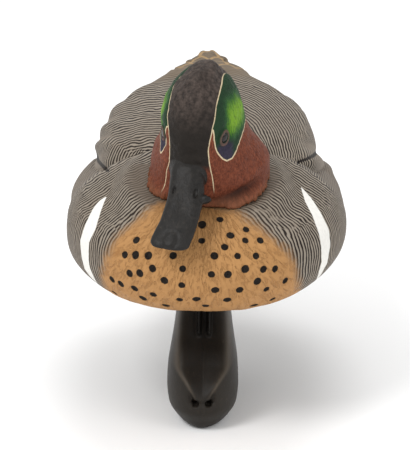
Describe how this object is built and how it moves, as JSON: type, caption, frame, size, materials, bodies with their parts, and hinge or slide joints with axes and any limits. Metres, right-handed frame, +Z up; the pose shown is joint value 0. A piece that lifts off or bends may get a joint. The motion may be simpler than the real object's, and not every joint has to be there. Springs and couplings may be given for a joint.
{
  "type": "floating duck decoy",
  "caption": "Hollow floating duck decoy with a swivelling head, a screwed-on ballasted keel with a line tie, and a drain plug.",
  "frame": {"origin": "middle of the flat foot under the keel", "axes": "-Y towards the breast and bill, +Y towards the tail, +X the duck's left, +Z up"},
  "size_m": [0.146, 0.2959, 0.1893],
  "materials": {
    "body_paint": "carved and painted, matte",
    "head_paint": "carved and painted, matte",
    "eye_gloss": "polished",
    "black_plastic": "moulded satin",
    "rubber": "moulded matte",
    "screw_steel": "stainless, satin",
    "ballast_cement": "cast, rough"
  },
  "bodies": {
    "hull": {"body_shell": "body_paint", "neck_socket": "black_plastic", "keel_shell": "black_plastic", "keel_gasket": "rubber", "ballast": "ballast_cement", "keel_screw_1": "screw_steel", "keel_screw_2": "screw_steel", "keel_screw_3": "screw_steel", "keel_screw_4": "screw_steel", "keel_screw_5": "screw_steel", "keel_screw_6": "screw_steel"},
    "head": {"head_shell": "head_paint", "eye_left": "eye_gloss", "eye_right": "eye_gloss", "neck_stem": "black_plastic", "swivel_ring": "rubber", "stem_screw_1": "screw_steel", "stem_screw_2": "screw_steel", "stem_screw_3": "screw_steel"},
    "plug": {"drain_plug": "rubber"}
  },
  "joints": [
    {"name": "head_swivel", "type": "hinge", "parent": "hull", "child": "head", "pos_m": [0, -0.013, 0.126], "axis": [0, -0.2419, 0.9703], "continuous": true},
    {"name": "drain_plug_pull", "type": "slide", "parent": "hull", "child": "plug", "axis": [0, 0, -1], "range_m": [0, 0.02]}
  ]
}
